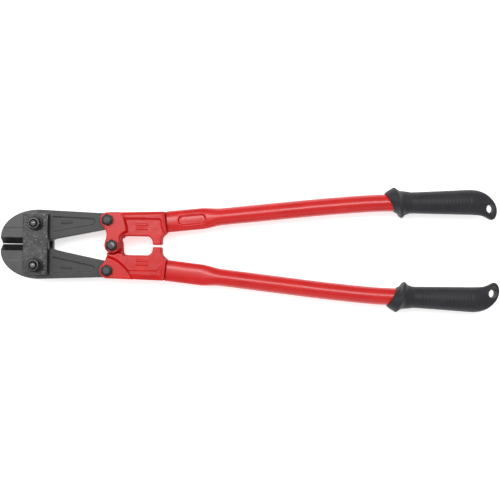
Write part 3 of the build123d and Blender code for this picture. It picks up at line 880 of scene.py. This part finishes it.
for side, flip in (("upper", False), ("lower", True)):
    tube = to_piece(side + "_tube", side + "_handle", [side + "_handle_tube"],
                    [tube_surface()], flip=flip, sharp=50.0)
    paint(tube, [tube_enamel])

# The grips are soft moulded sleeves pushed over the tube: a thin mouth, a
# leaning collar that stops the hand, a round body with fine ribs, and a
# flattened, hooked end with a hang hole.
grip_nose = rounded_path([(-9.6, 10.6, 0), (-10.4, 11.4, 0.5), (-10.2, 13.0, 0.7), (0.0, 19.8, 1.8),
                          (5.0, 15.4, 9.0), (15.0, 13.1, 0)], closed=False, steps=9)
grip_sides = np.array([(196.4, 70.6, 44.6, 13.1), (203, 70.8, 44.7, 13.0), (220, 71.8, 44.5, 13.1),
                       (245, 73.3, 44.3, 13.3), (262, 74.4, 44.2, 13.2), (271, 74.8, 44.1, 12.5),
                       (278, 74.2, 43.9, 11.1), (284, 72.4, 43.3, 9.4), (289, 69.9, 41.7, 8.2),
                       (293, 66.6, 39.6, 7.6), (295, 64.6, 38.6, 7.5), (297, 62.4, 38.2, 7.4),
                       (299, 59.4, 39.3, 7.3), (300.6, 56.0, 41.6, 7.0), (301.5, 52.4, 44.6, 5.5),
                       (301.9, 49.2, 47.6, 0.2)])
hang_hole = (293.3, 51.7)
hang_radius = 5.25
collar_x = 181.8


def grip_rows():
    """Every cross row of the sleeve: centre, lean, and its two half widths.

    Up to the collar the rows lean 16 degrees, and 11 degrees more at the mouth;
    from the collar to the body the lean fades to nothing.
    """
    gap = np.hypot(*np.diff(grip_nose, axis=0).T)
    t = np.concatenate([[0], np.cumsum(gap)])
    fine = np.unique(np.concatenate([t, np.linspace(0, t[-1], 70)]))
    a, r = np.interp(fine, t, grip_nose[:, 0]), np.interp(fine, t, grip_nose[:, 1])
    x = np.concatenate([np.linspace(198.6, 284, 100), 301.9 - 17.9 * (np.linspace(1, 0, 44)[1:] ** 1.6)])
    outer = np.interp(x, grip_sides[:, 0], grip_sides[:, 1])
    inner = np.interp(x, grip_sides[:, 0], grip_sides[:, 2])
    half_z = np.interp(x, grip_sides[:, 0], grip_sides[:, 3])
    lean = np.radians(16.0) * (1 - rise(a - 10.0, 9.9)) + np.radians(11.0) * rise(-4.0 - a, 5.0)
    lean = np.concatenate([lean, np.zeros(len(x))])
    centre_line_x = np.concatenate([collar_x + a, x])
    centre_line_y = np.concatenate([57.5 + a * 0.006, (outer + inner) / 2])
    half_y = np.concatenate([r, (outer - inner) / 2])
    return centre_line_x, centre_line_y, lean, half_y, np.concatenate([r, half_z])


def grip_surface(shift):
    """The sleeve's two faces over (row, angle from outer side to inner side).

    A row's point is its centre plus half_y cos(angle) across the lean, and it
    stands half_z sin(angle) off the mid-plane; the power of the sine falls
    towards the end, which squares the section off there. Points near the hang
    hole's edge slide onto it.
    """
    cx, cy, lean, half_y, half_z = grip_rows()
    angle = np.linspace(math.pi, 0, 60)
    c, s = np.cos(angle)[None, :], np.sin(angle)[None, :]
    x = cx[:, None] - (half_y * np.sin(lean))[:, None] * c + shift
    y = cy[:, None] + (half_y * np.cos(lean))[:, None] * c
    square = (1.0 - 0.6 * rise(cx - 284.0, 22.0))[:, None]
    z = half_z[:, None] * np.abs(s) ** square
    along = x - shift
    panel = rise(7.5 - np.abs(y - cy[:, None]), 2.0) * rise(along - 207, 3.0) * rise(268 - along, 3.0)
    ribs = 0.5 + 0.5 * np.cos(along * 2 * math.pi / 4.2)
    z = z - panel * (0.45 - 0.22 * rise(ribs - 0.5, 0.7))
    hole = (hang_hole[0] + shift, hang_hole[1])
    rim = disc(x, y, hole, hang_radius)
    far = np.maximum(np.hypot(x - hole[0], y - hole[1]), 1e-6)
    snap = (rim > -0.42) & (rim < 1.6)
    x = np.where(snap, hole[0] + (x - hole[0]) * hang_radius / far, x)
    y = np.where(snap, hole[1] + (y - hole[1]) * hang_radius / far, y)
    z = z - worn_edge(-rim, 0.8) * (-rim < 0.8)
    solid = rim < -0.42
    keep = solid[:-1, :-1] | solid[1:, :-1] | solid[:-1, 1:] | solid[1:, 1:]
    return two_sided(x, y, z, -z, keep, rows=5)


grip_pvc = finish_material("dark_grip_pvc", (0.021, 0.021, 0.026), (0.029, 0.029, 0.035), (0.48, 0.56), 0.0,
                           (60.0, 0.3, 0.7), (0.6, 0.7, 300.0), ((1.0, 1.0, 1.0), 1400.0, 0.3, 0.00012),
                           worn=(0.09, 0.09, 0.095), shine=0.35)

for side, shift, flip in (("upper", -2.2, False), ("lower", 2.2, True)):
    grip = to_piece(side + "_sleeve", side + "_handle", [side + "_grip"],
                    [grip_surface(shift)], flip=flip, sharp=45.0)
    paint(grip, [grip_pvc])
